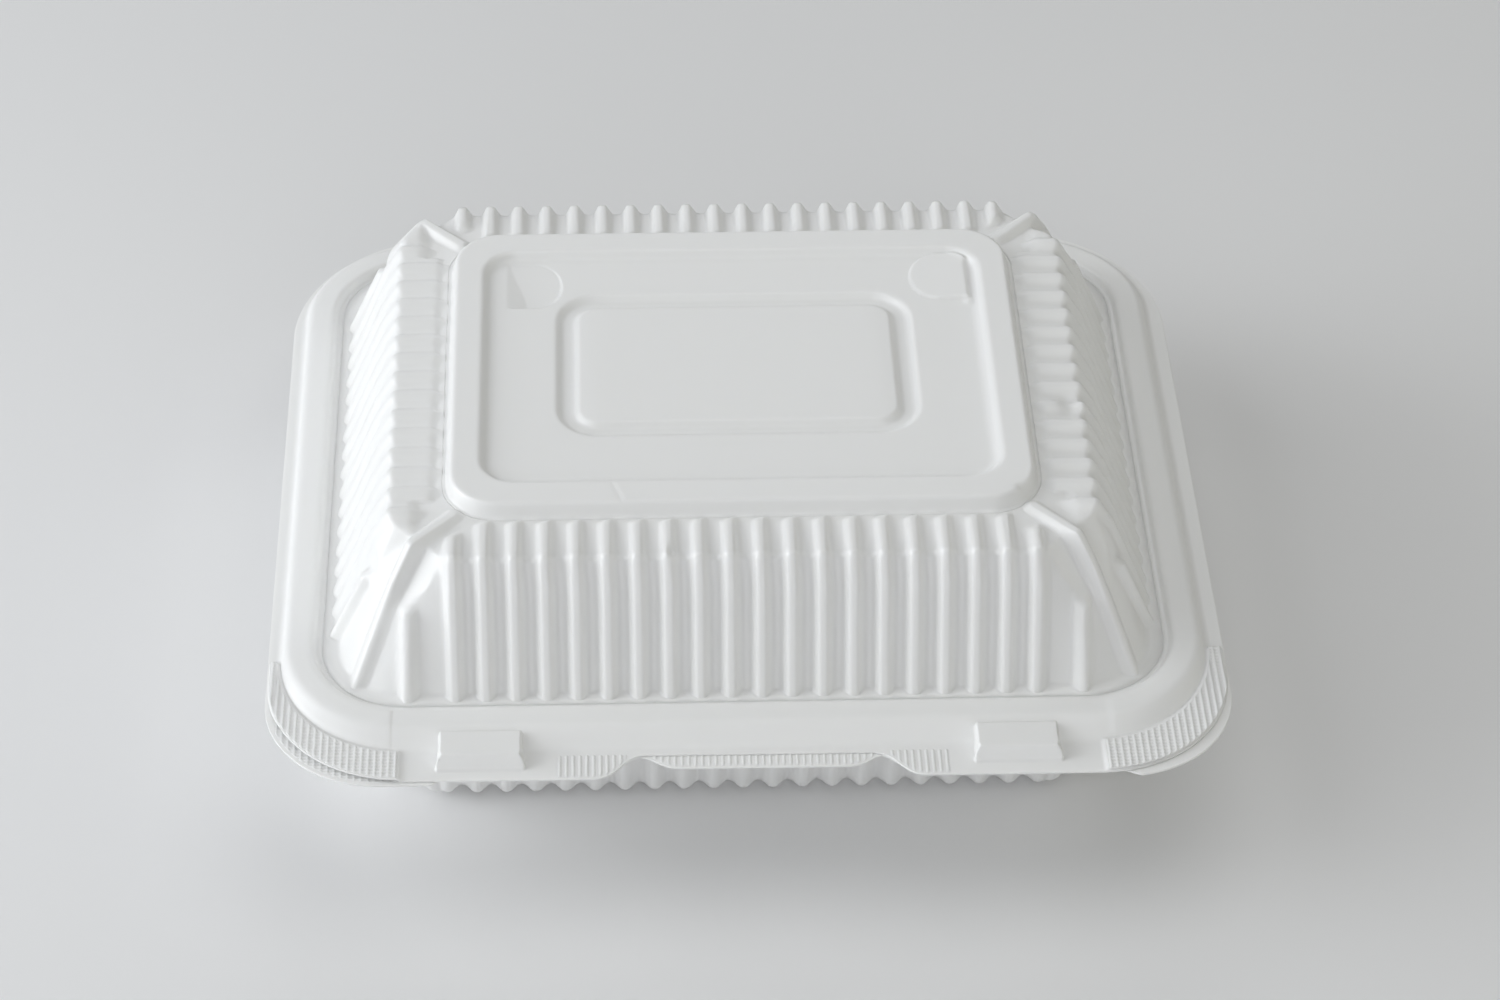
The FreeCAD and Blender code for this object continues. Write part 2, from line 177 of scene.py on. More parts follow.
# Unit normals of a grid: along the row crossed with up the column
def skinNormals(skin, closed):
    if closed:
        along = np.roll(skin, -1, 1) - np.roll(skin, 1, 1)
    else:
        along = np.gradient(skin, axis=1)
    normal = np.cross(along, np.gradient(skin, axis=0))
    length = np.linalg.norm(normal, axis=2, keepdims=True)
    return normal / np.maximum(length, 1e-9)


# Mesh from points in millimetres and groups of equal-sided faces
def addMesh(name, points, faces, soft):
    mesh = bpy.data.meshes.new(name)
    loops = np.concatenate([group.ravel() for group in faces]).astype(np.int32)
    sizes = np.concatenate([np.full(len(group), group.shape[1]) for group in faces])
    mesh.vertices.add(len(points))
    mesh.vertices.foreach_set("co", (points * millimetre).astype(np.float32).ravel())
    mesh.loops.add(len(loops))
    mesh.loops.foreach_set("vertex_index", loops)
    mesh.polygons.add(len(sizes))
    starts = np.concatenate([[0], np.cumsum(sizes)[:-1]]).astype(np.int32)
    mesh.polygons.foreach_set("loop_start", starts)
    mesh.polygons.foreach_set("use_smooth", np.concatenate(
        [np.full(len(group), flag) for group, flag in zip(faces, soft)]))
    mesh.update(calc_edges=True)
    mesh.validate()
    piece = bpy.data.objects.new(name, mesh)
    bpy.context.scene.collection.objects.link(piece)
    return piece


# Closed shell from a grid: the skin, a second skin a thickness behind it, and flat strips or
# caps that join their edges
def shellMesh(name, skin, thickness, closed=True, capFirst=False, capLast=False):
    rows, columns = skin.shape[:2]
    behind = skin - thickness * skinNormals(skin, closed)
    points = np.concatenate([skin.reshape(-1, 3), behind.reshape(-1, 3)])
    index = np.arange(rows * columns).reshape(rows, columns)
    back = rows * columns
    here, right = (index, np.roll(index, -1, 1)) if closed else (index[:, :-1], index[:, 1:])
    outer = np.stack([here[:-1], right[:-1], right[1:], here[1:]], -1).reshape(-1, 4)
    faces, soft = [outer, (outer + back)[:, ::-1]], [True, True]

    def addStrip(start, end):
        faces.append(np.stack([start, end, end + back, start + back], -1))
        soft.append(False)

    if capFirst:
        faces.extend([index[0][None, ::-1], index[0][None] + back])
        soft.extend([True, True])
    else:
        addStrip(right[0], here[0])
    if capLast:
        faces.extend([index[-1][None], index[-1][None, ::-1] + back])
        soft.extend([True, True])
    else:
        addStrip(here[-1], right[-1])
    if not closed:
        addStrip(index[:-1, 0], index[1:, 0])
        addStrip(index[1:, -1], index[:-1, -1])
    return addMesh(name, points, faces, soft)


# Open (inward, z) line moved in by a distance and mitred at its corners
def insetLine(points, distance):
    points = np.array(points, float)
    step = np.diff(points, axis=0)
    normal = np.stack([step[:, 1], -step[:, 0]], 1) / np.linalg.norm(step, axis=1)[:, None]
    mean = np.concatenate([normal[:1], (normal[1:] + normal[:-1]) / 2, normal[-1:]])
    return points + distance * mean / np.sum(mean * mean, axis=1, keepdims=True)


# Height share of a rib: 1 on the crest, an eased slope down its flank, 0 beyond
def ribProfile(distance, crestHalf, flank):
    share = np.clip((crestHalf + flank - distance) / flank, 0, 1)
    return (1 - flankEase) * share + flankEase * smooth(share)


# Signed distance to the nearest rib's middle, and that rib's number from the middle
def nearestRib(values, pitch, count):
    half = (count - 1) / 2
    number = np.clip(np.round(values / pitch + half), 0, count - 1) - half
    return values - number * pitch, np.abs(number)


# True for the columns that run across the front and back walls
def isFrontOrBack(columns):
    side = np.zeros(len(columns["y"]), bool)
    return np.concatenate([np.ones(len(columns["x"]), bool), side,
                           np.ones(len(columns["xBack"]), bool), side])


# Lid: ribbed wall and shoulder

dome = {
    "kink": (11.1, 70.0),  # how far in from the mouth, and level
    "knee": (15.6, 78.0),
    "plateau": (73.4, 55.3, 13.0),
    "plateauTop": 81.0,
    "ribDepth": 2.2,
    "ribPitch": 7.5,
    "ribs": (20, 15),  # on the front and back, and on the sides
    "crestHalf": 0.9,
    "flank": 1.9,
    "flatIn": 40.0,  # a point on the level past the knee, for the valleys' mitre
    "footGrow": 0.9,  # the last row lies this far outside the plateau's foot
    "footFillets": (0.2, 1.2),  # at the wall's foot, on a crest and in a valley
    "kinkFillet": 1.6,
    "kneeFillet": 1.3,
    "footLift": 1.2,  # the valleys are this much shallower at the plateau's foot
    "tipGap": 2.3,  # from a rib's crest end to the plateau's foot
    "endShort": 4.2,  # the last rib before a corner stops this much sooner
    "endCut": (1.3, 0.4, 1.6),  # slanted end of a front rib: place, slant, length
    "sideEnd": (3.2, 0.55),  # round end of a side rib: where it starts, how slowly it turns
    "cornerEnd": 0.9,  # round end of a corner rib
    "leanFrom": 71.0,  # level where the ribs start to lean
    "leanOver": 3.0,
    "sideLean": (0.55, -0.28),  # how much steeper one flank is, and gentler the other
    "frontLean": (0.2, -0.08),
    "shortRib": (82.6, 60.6),  # place of the short rib beside each corner rib
    "shortTop": 63.5,
    "shortEnd": 1.6,
    "shortNarrow": 0.1,
    "facetFoot": 63.8,  # level where the flat disc beside a corner rib starts
    "facetIn": 17.9,
    "facetReach": (40.0, 14.0),  # how far in and sideways the disc can lie
    "facetLow": 50.0,
    "dentsAbove": 60.0,
}
# Shares of the wall, of the stretch past its top and of the shoulder at which rows lie
wallRows = (0.12, 0.27, 0.42, 0.56, 0.66, 0.72, 0.765, 0.81, 0.86, 0.93)
kinkRows = (0.33, 0.67)
shoulderRows = (0.07, 0.15, 0.24, 0.34, 0.44, 0.51, 0.57, 0.63, 0.69, 0.745, 0.79, 0.83, 0.87,
                0.905, 0.94, 0.975)


# Columns set closely over every rib's flanks, then over the corner's ribs
def ribColumns(count, pitch, offsets, corner, distances):
    ribs = (np.arange(count) - (count - 1) / 2) * pitch
    places = (ribs[:, None] + np.array(offsets)[None]).ravel()
    places = places[places >= -1e-6]
    return list(places) + [ribs[-1] + pitch / 2] + [corner - d for d in distances]


# Columns: offsets from each rib's middle, then distances from the corner's diagonal
domeOffsets = (-3.75, -2.75, -2.1, -1.5, -0.95, -0.35, 0.35, 0.95, 1.5, 2.1, 2.75)
domeCorner = (20.4, 18.8, 17.8, 17.1, 16.5, 15.9, 15.3, 14.7, 14.1, 13.5, 12.9, 12.3, 11.6, 10.2,
              8.6, 7.2, 6.0, 5.0, 4.1, 3.3, 2.6, 2.0, 1.5, 1.0, 0.5)
sideFarther = 1.4  # the side walls' last rib lies this much farther from the diagonal
cornerSlant = mouth[2] * (1 - diagonalShare)
domeX, domeY = mouth[0] - cornerSlant, mouth[1] - cornerSlant
domeColumns = loopColumns(
    ribColumns(dome["ribs"][0], dome["ribPitch"], domeOffsets, domeX, domeCorner),
    ribColumns(dome["ribs"][1], dome["ribPitch"], domeOffsets, domeY,
               [distance + sideFarther for distance in domeCorner]),
    domeX, domeY, dome["ribPitch"] * dome["ribs"][0] / 2, dome["ribPitch"] * dome["ribs"][1] / 2)


# Rows up the wall and over the shoulder, along a line of (inward, z) points
def domeRows(line, below, footFillet, lift=0.0):
    seam = loop(domeColumns, rim["seam"][0], rim["seam"][1], rim["seam"][1], rim["seam"][2],
                rim["channelZ"])
    curves = [seam]
    for inward, z in line:
        curves.append(loop(domeColumns, mouth[0] - inward, mouth[1] - inward, mouth[1] - inward,
                           mouth[2] - below, z))
    half, depth, radius = (size + dome["footGrow"] for size in dome["plateau"])
    curves.append(loop(domeColumns, half, depth, depth, radius, line[-1][1] + lift))
    fillets = [(0, 0), (footFillet, 2), (dome["kinkFillet"], 3), (dome["kneeFillet"], 4), (0, 0)]
    return filletRows(curves, fillets, [(), wallRows, kinkRows, shoulderRows])


# Flat disc pressed into each corner's valley: points in front of a sloping plane are moved
# back onto it, which leaves a round edge on the curved corner
def flatFacets(rows):
    rise = (dome["facetFoot"] - rim["flangeZ"]) / (dome["kink"][1] - rim["flangeZ"])
    footIn = dome["kink"][0] * rise
    low = np.array([(footIn + dome["ribDepth"]) / diagonalShare, dome["facetFoot"]])
    high = np.array([dome["facetIn"] / diagonalShare, dome["knee"][1] - dome["ribDepth"]])
    slope = (high - low) / np.linalg.norm(high - low)
    out, up = slope[1], slope[0]
    diagonalOut = ((np.abs(rows[..., 0]) - domeX) + (np.abs(rows[..., 1]) - domeY)) * diagonalShare
    ahead = (diagonalOut + low[0]) * out + (rows[..., 2] - low[1]) * up
    reachIn, reachSide = dome["facetReach"]
    ahead = np.where(np.maximum(-diagonalOut, 0) < reachIn, np.maximum(ahead, 0), 0)
    sideways = np.abs((np.abs(rows[..., 0]) - domeX) - (np.abs(rows[..., 1]) - domeY)) * diagonalShare
    ahead = np.where((sideways < reachSide) & (rows[..., 2] > dome["facetLow"]), ahead, 0)
    moved = rows.copy()
    moved[..., 0] -= ahead * out * diagonalShare * np.sign(rows[..., 0])
    moved[..., 1] -= ahead * out * diagonalShare * np.sign(rows[..., 1])
    moved[..., 2] -= ahead * up
    return moved


domeDentMarks = (  # place, size along x and y, depth
    ((84.2, -15.4), (2.6, 3.6), 1.3),
    ((-18.1, -69.0), (0.55, 1.6), 1.1),
    ((-16.9, -69.6), (0.5, 1.4), -0.8),
    ((47.2, -70.8), (0.8, 1.2), 0.35),
    ((54.6, -70.2), (0.8, 1.1), 0.3),
    ((62.0, -69.5), (0.7, 1.2), 0.35),
    ((-70.5, -72.4), (0.9, 1.2), 0.25),
)


# Small dents: points pushed down by a bell curve round each place
def domeDents(rows):
    for (x, y), (sizeX, sizeY), depth in domeDentMarks:
        away = ((rows[..., 0] - x) / sizeX) ** 2 + ((rows[..., 1] - y) / sizeY) ** 2
        push = depth * np.exp(-away) * (rows[..., 2] > dome["dentsAbove"])
        rows[..., 2] -= push
    return rows


relief = {  # share by which the side walls' valleys are filled
    "share": 0.4,
    "lowShare": 0.2,  # more near the wall's foot
    "lowFrom": 62.0,
    "lowOver": 12.0,
    "cornerFrom": 62.0,  # none towards the corners
    "cornerOver": 6.0,
    "tipOver": 2.0,
    "leftShare": 0.22,  # more over the left shoulder
    "leftFrom": 68.0,
    "leftOver": 3.0,
    "patchShare": 0.9,  # the flush patch beside the left back corner rib
    "patchFrom": (53.5, 66.0),
    "patchOver": (2.5, 5.0),
}


# Filled share: products of eased steps in y, z and the distance past a rib's tip
def sideRelief(x, y, z, beyond, frontBack):
    inRow = smooth(-beyond / relief["tipOver"])
    fade = np.where(frontBack, 0, inRow)
    fade = fade * smooth((relief["cornerFrom"] - np.abs(y)) / relief["cornerOver"])
    low = smooth((relief["lowFrom"] - z) / relief["lowOver"])
    share = fade * (relief["share"] + relief["lowShare"] * low)
    (patchY, patchZ), (overY, overZ) = relief["patchFrom"], relief["patchOver"]
    patch = smooth((y - patchY) / overY) * smooth((z - patchZ) / overZ) * inRow * ~frontBack
    shoulder = smooth((z - relief["leftFrom"]) / relief["leftOver"])
    left = share + relief["leftShare"] * fade * shoulder
    return np.where(x < 0, np.maximum(left, relief["patchShare"] * patch), share)


# Distance to the nearest rib with its one flank steeper and its other gentler
def leanDistance(away, towards, leaning, lean):
    return away * (1 + leaning * np.where(towards > 0, lean[0], lean[1]))


# Height share of the ribs up each wall and over the shoulder, with their ends
def wallRibs(x, y, z, beyond, frontBack):
    awayX = nearestRib(x, dome["ribPitch"], dome["ribs"][0])[0]
    awayY = nearestRib(y, dome["ribPitch"], dome["ribs"][1])[0]
    endStart, endTurn = dome["sideEnd"]
    ending = np.where(frontBack, 0, np.maximum(beyond + endStart, 0) * endTurn)
    leaning = smooth((z - dome["leanFrom"]) / dome["leanOver"])
    awayY = leanDistance(awayY, awayY, leaning, dome["sideLean"])
    steepSide = np.where(y < 0, awayX, -awayX)  # right on the front, left on the back
    awayX = leanDistance(awayX, steepSide, leaning, dome["frontLean"])
    away = np.hypot(np.where(frontBack, awayX, awayY), ending)
    cutPlace, cutSlant, cutLength = dome["endCut"]
    slanted = cutPlace + cutSlant * steepSide - beyond
    height = ribProfile(away, dome["crestHalf"], dome["flank"])
    return height * np.where(frontBack, np.clip(slanted / cutLength, 0, 1), 1)


# Height share of the rib along each corner's diagonal and the short one on each side of it
def cornerRibs(x, y, z, frontBack):
    sideways = np.abs((np.abs(x) - domeX) - (np.abs(y) - domeY)) * diagonalShare
    inward = ((domeX - np.abs(x)) + (domeY - np.abs(y))) * diagonalShare
    tip = math.hypot(mouth[0] - dome["plateau"][0], mouth[1] - dome["plateau"][1])
    tip -= (mouth[2] - dome["plateau"][2]) * (math.sqrt(2) - 1) + dome["tipGap"]
    away = np.hypot(sideways, np.maximum(inward - tip + dome["cornerEnd"], 0))
    aside = np.where(frontBack, np.abs(np.abs(x) - dome["shortRib"][0]),
                     np.abs(np.abs(y) - dome["shortRib"][1]))
    short = ribProfile(aside, dome["crestHalf"] - dome["shortNarrow"], dome["flank"])
    short = short * smooth((dome["shortTop"] + dome["shortEnd"] - z) / dome["shortEnd"])
    return np.maximum(ribProfile(away, dome["crestHalf"], dome["flank"]), short)


# Wall and shoulder: valley + height share * (crest - valley), a blend of two smooth skins
def domeSkin():
    depth = dome["ribDepth"]
    kinkRise = (rim["channelZ"] - rim["flangeZ"]) / (dome["kink"][1] - rim["flangeZ"])
    foot = dome["kink"][0] * kinkRise
    crestLine = [(foot, rim["channelZ"]), dome["kink"], dome["knee"]]
    valleyLine = insetLine(crestLine + [(dome["flatIn"], dome["knee"][1])], depth)[:3]
    rise = (rim["channelZ"] - valleyLine[0][1]) / (valleyLine[1][1] - valleyLine[0][1])
    valleyLine[0] += rise * (valleyLine[1] - valleyLine[0])
    crestFoot, valleyFoot = dome["footFillets"]
    crest = domeRows(crestLine, 0.0, crestFoot)
    valley = domeRows([tuple(point) for point in valleyLine], depth, valleyFoot, dome["footLift"])
    valley = flatFacets(valley)
    middle = (crest + valley) / 2
    x, y, z = middle[..., 0], middle[..., 1], middle[..., 2]
    frontBack = isFrontOrBack(domeColumns)[None]

    # How far past the end of its rib each point lies
    lastX = nearestRib(x, dome["ribPitch"], dome["ribs"][0])[1] > dome["ribs"][0] / 2 - 1
    lastY = nearestRib(y, dome["ribPitch"], dome["ribs"][1])[1] > dome["ribs"][1] / 2 - 1
    tipY = mouth[1] - dome["plateau"][1] - dome["tipGap"] - lastX * dome["endShort"]
    tipX = mouth[0] - dome["plateau"][0] - dome["tipGap"] - lastY * dome["endShort"]
    beyond = np.where(frontBack, mouth[1] - np.abs(y) - tipY, mouth[0] - np.abs(x) - tipX)

    height = wallRibs(x, y, z, beyond, frontBack)
    height = np.maximum(height, cornerRibs(x, y, z, frontBack))
    height = height + (1 - height) * sideRelief(x, y, z, beyond, frontBack)
    return domeDents(valley + height[..., None] * (crest - valley))


# Lid: plateau with the sunken panel, its groove ring and its pressed marks

panel = {
    "edge": (65.0, 46.3, 9.0),
    "foot": (63.2, 44.6, 7.4),
    "depth": 2.0,
    "wallDraft": 1.2,  # the plateau's wall leans in by this much
    "grooveMid": 1.4,  # the ring lies this far behind the middle
    "groove": ((46.0, 28.5, 10.9), (44.4, 26.9, 9.3), (41.8, 24.3, 6.7), (40.2, 22.7, 5.1)),
    "grooveDepth": 1.4,
    "centre": (24.0, 8.0, 6.0),
    "fillets": ((0, 0), (0.85, 3), (1.0, 4), (0.9, 3), (1.7, 4), (0.7, 2), (0.7, 2), (0.7, 2),
                (0.7, 2), (0, 0)),  # length and rows of each
    "spans": (0, 2, 13, 0, 36, 0, 0, 0, 2),  # rows between the outlines
}
panelX, panelY = 69.6, 51.5
panelColumns = loopColumns(  # closer over the crease, the marks and the corners
    steps((0, 26, 2.0), (26, 37, 0.5), (37, 66, 2.2), (66, panelX - 0.3, 0.6)),
    steps((0, panelY - 0.5, 2.0)), panelX, panelY, straightX=62.0, straightY=45.0,
    xBack=steps((0, 40, 2.2), (40, 64, 0.36), (64, panelX - 0.3, 0.8)),
    yBack=steps((0, 21, 2.2), (21, 46, 0.42), (46, panelY - 0.3, 0.8)))

marks = {
    "half": (7.3, 9.2),  # half width of the round end, half depth
    "left": (-51.9, 34.0),
    "leftEnd": -58.9,
    "leftStep": 0.22,  # shallow at its right and back
    "leftDepth": 1.25,  # deep at its front left
    "leftSlope": 0.24,
    "leftLean": (0.5, 0.1, 0.55),  # share at the middle, and how it falls to the right and back
    "right": (54.0, 35.6),
    "rightEnd": 61.0,
    "rightStep": 0.25,
    "rightHeight": 0.95,
    "endOver": 1.6,
    "blob": (61.6, 25.2),  # a small lump in front of the right mark
    "blobSize": (1.2, 1.5),
    "blobHeight": 0.5,
    "edge": 0.4,
    "reach": (63.0, 45.0, 0.9),  # the marks touch only the panel's floor within this box
}
crease = {  # a slanting line in the frame, and its raised side
    "place": (-32.4, -46.6),
    "across": (0.947, 0.320),
    "ends": (-56.0, -45.4),
    "endOver": 1.5,
    "depth": 0.13,
    "width": 0.5,
    "lipHeight": 0.05,
    "lipPlace": 1.2,
    "lipWidth": 0.9,
}
cornerDent = {"place": (68.9, -50.6), "size": (1.3, 0.8), "depth": 0.9, "above": 77.6}


# Two round pads that stop nested lids from locking: the left one is pressed in and leans down
# to its front left, the right one stands up and leans to its right
def nestingMarks(x, y):
    halfX, halfY = marks["half"]
    across = (x - marks["left"][0]) / halfX
    along = (y - marks["left"][1]) / halfY
    inside = (1 - np.hypot(np.maximum(across, 0), along)) * halfX
    inside = np.minimum(inside, x - marks["leftEnd"])
    middle, toRight, toBack = marks["leftLean"]
    lean = smooth(middle - toRight * across - toBack * along)
    depth = marks["leftStep"] + (marks["leftDepth"] - marks["leftStep"]) * lean
    depth = np.minimum(depth, np.maximum(x - marks["leftEnd"], 0) * marks["leftSlope"])
    left = -depth * smooth(inside / marks["edge"] + 0.5)
    across = (x - marks["right"][0]) / halfX
    along = (y - marks["right"][1]) / halfY
    inside = (1 - np.hypot(np.minimum(across, 0), along)) * halfX
    lean = np.clip((across + 1) / 2, 0, 1)
    height = marks["rightStep"] + (marks["rightHeight"] - marks["rightStep"]) * lean
    end = smooth((marks["rightEnd"] + marks["endOver"] - x) / marks["endOver"])
    right = height * smooth(inside / marks["edge"] + 0.5) * end
    (blobX, blobY), (sizeX, sizeY) = marks["blob"], marks["blobSize"]
    blob = marks["blobHeight"] * np.exp(-((x - blobX) / sizeX) ** 2 - ((y - blobY) / sizeY) ** 2)
    return left + right + blob


# The nesting pads, and the crease and dents in the frame round the panel
def panelMarks(rows):
    x, y = rows[..., 0], rows[..., 1]
    floor = dome["plateauTop"] - panel["depth"]
    reachX, reachY, reachZ = marks["reach"]
    onFloor = (np.abs(rows[..., 2] - floor) < reachZ) & (np.abs(x) < reachX) & (np.abs(y) < reachY)
    rows[..., 2] += np.where(onFloor, nestingMarks(x, y), 0)
    (placeX, placeY), (acrossX, acrossY) = crease["place"], crease["across"]
    fromCrease = (x - placeX) * acrossX + (y - placeY) * acrossY
    front, back = crease["ends"]
    along = smooth((y - front) / crease["endOver"]) * smooth((back - y) / crease["endOver"])
    rows[..., 2] -= crease["depth"] * np.exp(-(fromCrease / crease["width"]) ** 2) * along
    fromLip = (fromCrease - crease["lipPlace"]) / crease["lipWidth"]
    rows[..., 2] += crease["lipHeight"] * np.exp(-fromLip ** 2) * along
    (dentX, dentY), (sizeX, sizeY) = cornerDent["place"], cornerDent["size"]
    away = ((x - dentX) / sizeX) ** 2 + ((y - dentY) / sizeY) ** 2
    rows[..., 2] -= cornerDent["depth"] * np.exp(-away) * (rows[..., 2] > cornerDent["above"])
    return rows


# Plateau and panel: a pile of outlines at their levels with filleted rows between them
def panelSkin():
    low, top = dome["knee"][1] - dome["ribDepth"] + dome["footLift"], dome["plateauTop"]
    floor = top - panel["depth"]

    def level(size, z, mid=0.0, grow=0.0):
        return loop(panelColumns, size[0] + grow, size[1] - mid + grow, size[1] + mid + grow,
                    size[2] + grow, z)

    groove, deep, mid = panel["groove"], floor - panel["grooveDepth"], panel["grooveMid"]
    curves = [
        level(dome["plateau"], low, grow=dome["footGrow"]), level(dome["plateau"], low),
        level(dome["plateau"], top, grow=-panel["wallDraft"]),
        level(panel["edge"], top), level(panel["foot"], floor),
        level(groove[0], floor, mid), level(groove[1], deep, mid), level(groove[2], deep, mid),
        level(groove[3], floor, mid), level(panel["centre"], floor, mid),
    ]
    spans = [evenly(count) for count in panel["spans"]]
    return panelMarks(filletRows(curves, panel["fillets"], spans))


# Lid and tray: rim with the bead, the latches, the pads and the trimmed edge

latch = {
    "mid": 64.95,
    "half": 10.6,
    "back": 97.4,
    "front": 108.4,
    "height": 3.4,
    "endDraft": 0.75,
    "frontDraft": 1.9,
    "backDraft": 0.5,
    "backDrop": 3.0,
    "blend": 0.02,  # how softly a box grows out of the bead
    "blendReach": 0.6,
    "waves": (  # in the ends: place, length, how far out
        (-101.5, 2.6, -0.3),
        (-105.8, 0.6, -0.45),
        (-107.3, 0.7, 0.4),
    ),
}
notch = {"edge": 104.4, "inner": 27.2, "outer": 40.3, "mid": 2.3}
tongue = {"edge": 108.4, "inner": 20.2, "outer": 31.3, "mid": 3.4}
pad = {
    "inner": 85.0,
    "back": 65.5,
    "margin": 0.15,
    "height": 0.8,
    "ramp": 3.0,
    "endRamp": 1.3,
    "edgeRamp": 0.3,
}
trimTilt = {"slope": 0.0055, "trueAt": 60.0, "from": 70.0, "over": 30.0}  # the front edge is askew
rimX, rimY = 100.03, 82.03  # the bead's inner edge on each corner's diagonal
rimColumns = loopColumns(  # closer over the notch, the latch ends and the pads
    steps((0, 24, 2.4), (24, 31, 0.6), (31, 52, 0.9), (52, 56, 0.28), (56, 74, 1.2),
          (74, 78.5, 0.28), (79, 84, 1.0), (84, 87, 0.35), (87, rimX - 0.4, 0.9)),
    steps((0, 60, 3.0), (60, 70, 0.7), (70, rimY - 0.4, 1.0)), rimX, rimY,
    straightX=91.0, straightY=73.5)


# Edge that eases from one depth to another: a cubic S (a Bezier curve), level at both ends
def sEdge(distance, inner, outer, innerY, outerY):
    t = np.linspace(0, 1, 60)
    along = inner + (outer - inner) * (1.5 * t - 1.5 * t * t + t ** 3)
    return np.interp(distance, along, innerY + (outerY - innerY) * (3 * t * t - 2 * t ** 3))


# How far back the askew front edge lies: a slope times the distance left of its true place
def askewTrim(x):
    return trimTilt["slope"] * np.maximum(trimTilt["trueAt"] - x, 0)


# Outlines from the trimmed edge, over the bead and down into the channel
def rimCurves(inset, flangeZ, channelZ, trim, edgeLine):
    half, front, back, radius, frontRadius = trim
    edge = loop(rimColumns, half, front, back, radius, flangeZ, rim["shift"], frontRadius)
    count = len(rimColumns["x"])
    edge[:count, 1] = np.maximum(edge[:count, 1], -edgeLine(edge[:count, 0]))
    share = smooth((-edge[:, 1] - trimTilt["from"]) / trimTilt["over"])
    edge[:, 1] += askewTrim(edge[:, 0]) * share
    innerX, innerY, innerR = rim["beadInner"]
    width, top = rim["beadWidth"] - inset, rim["beadTop"] - inset

    def outer(side, front, z):
        return loop(rimColumns, innerX + width + side, innerY + width + front,
                    innerY + width + side, innerR + width + side, z)

    def inner(draft, z):
        grow = inset - draft
        return loop(rimColumns, innerX + grow, innerY + grow, innerY + grow, innerR + grow, z)

    seamX, seamY, seamR = rim["seam"]
    return [edge, outer(rim["sideSlope"], rim["frontSlope"], flangeZ), outer(0, 0, top),
            inner(0, top), inner(rim["beadDraft"] * (top - channelZ) / (top - flangeZ), channelZ),
            loop(rimColumns, seamX, seamY, seamY, seamR, channelZ)]


# Rim: filleted rows through the outlines, raised by cornerRise and by latchRise
def rimSkin(inset, flangeZ, channelZ, trim, edgeLine):
    curves = rimCurves(inset, flangeZ, channelZ, trim, edgeLine)
    flange = (0.02, *np.linspace(0.07, 0.96, 19))
    rows = filletRows(curves, rim["fillets"], [flange, evenly(7), evenly(5), (), ()])
    rows[..., 2] += cornerRise(rows, flangeZ)
    rows[..., 2] += latchRise(rows, inset, flangeZ)
    return rows


# The bead stands a little higher round the front corners, but for its inner lip: a
# product of eased steps in x, y, height and the distance out from the lip
def cornerRise(rows, flangeZ):
    x, y = np.abs(rows[..., 0]), -rows[..., 1]
    overX = x - (rim["beadInner"][0] - rim["beadInner"][2])
    overY = y - (rim["beadInner"][1] - rim["beadInner"][2])
    fromLip = np.hypot(np.maximum(overX, 0), np.maximum(overY, 0)) - rim["beadInner"][2]
    (fromX, fromY), (overSide, overFront) = rim["riseFrom"], rim["riseOver"]
    side = np.abs(rows[..., 0] - rim["shift"])
    turned = smooth((y - fromY) / overFront) * smooth((side - fromX) / overSide)
    high = smooth((rows[..., 2] - flangeZ) / rim["lipHeight"])
    high = high * smooth((fromLip - rim["lipWidth"]) / rim["lipOver"])
    return rim["cornerRise"] * turned * high


# Latch boxes: a share that rises from the wavy ends and from the front gives the box's
# level, and the rise is the soft maximum of that level and the rim
def latchRise(rows, inset, flangeZ):
    y = rows[..., 1]
    waves = sum(out * np.exp(-((y - place) / length) ** 2) for place, length, out in latch["waves"])
    away = np.abs(np.abs(rows[..., 0]) - latch["mid"])
    ends = (latch["half"] - inset + waves - away) / latch["endDraft"]
    front = (latch["front"] - inset + y) / latch["frontDraft"]
    share = np.minimum(smooth(ends), np.clip(front, 0, 1))
    box = flangeZ + (rim["flangeZ"] + latch["height"] - inset - flangeZ) * share
    box -= latch["backDrop"] * (1 - smooth((-latch["back"] - y) / latch["backDraft"]))
    gap = box - rows[..., 2]
    rise = (gap + np.sqrt(gap * gap + latch["blend"])) / 2
    return np.where(gap > -latch["blendReach"], rise, 0) * (share > 0)


# How far a point lies inside the front half of a trimmed outline
def edgeDistance(x, y, trim, shift):
    half, front, radius = trim[0], trim[1], trim[4]
    overX, overY = np.abs(x - shift) - (half - radius), -y - (front - radius)
    fromCentre = np.hypot(np.maximum(overX, 0), np.maximum(overY, 0))
    return radius - np.where((overX > 0) & (overY > 0), fromCentre, np.maximum(overX, overY))


# Y of the line a gap outside the bead's foot, round the front corners
def beadFront(x, gap):
    innerX, innerY, innerR = rim["beadInner"]
    radius = innerR + rim["beadWidth"] + rim["sideSlope"]
    middle = innerY - innerR + rim["frontSlope"] - rim["sideSlope"]
    over = np.maximum(np.abs(x) - (innerX - innerR), 0)
    reach = radius + gap
    return np.where(over < reach, -middle - np.sqrt(np.maximum(reach ** 2 - over ** 2, 0)), -middle)


# Y of the line a margin inside a trimmed outline's front corners
def trimFront(x, trim, margin):
    half, front, radius = trim[0], trim[1], trim[4]
    over = np.clip(np.abs(x - rim["shift"]) - (half - radius), 0, radius - margin)
    return askewTrim(x) - (front - radius) - np.sqrt((radius - margin) ** 2 - over ** 2)


